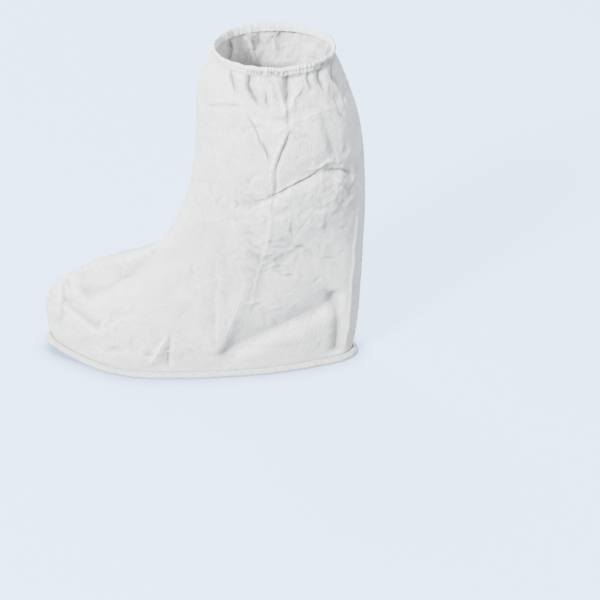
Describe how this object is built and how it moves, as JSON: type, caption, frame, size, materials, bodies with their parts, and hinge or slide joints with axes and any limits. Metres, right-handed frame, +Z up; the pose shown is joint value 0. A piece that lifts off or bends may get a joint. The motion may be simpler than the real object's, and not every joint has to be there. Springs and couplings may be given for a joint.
{
  "type": "boot cover",
  "caption": "Calf-high disposable over-boot of white nonwoven with a flat sole, a bound sole seam and a gathered elastic hem, in its worn form.",
  "frame": {"origin": "in the sole, 1.2 mm over its underside and under the middle of the leg opening, where the wearer's foot stands", "axes": "+Z up through the leg opening, -Y towards the toe, +X towards the side that the picture shows"},
  "size_m": [0.1745, 0.389, 0.4012],
  "materials": {
    "panel_nonwoven": "white flash-spun nonwoven, matt with a faint paper sheen, crinkled",
    "sole_nonwoven": "white coated nonwoven, slightly rougher",
    "binding_nonwoven": "white folded strip of nonwoven with a stitched edge",
    "hem_nonwoven": "white nonwoven folded over a flat elastic, stitched and gathered"
  },
  "bodies": {
    "root": {"left_panel": "panel_nonwoven", "right_panel": "panel_nonwoven", "sole": "sole_nonwoven", "sole_binding": "binding_nonwoven", "elastic_hem": "hem_nonwoven"}
  },
  "joints": []
}
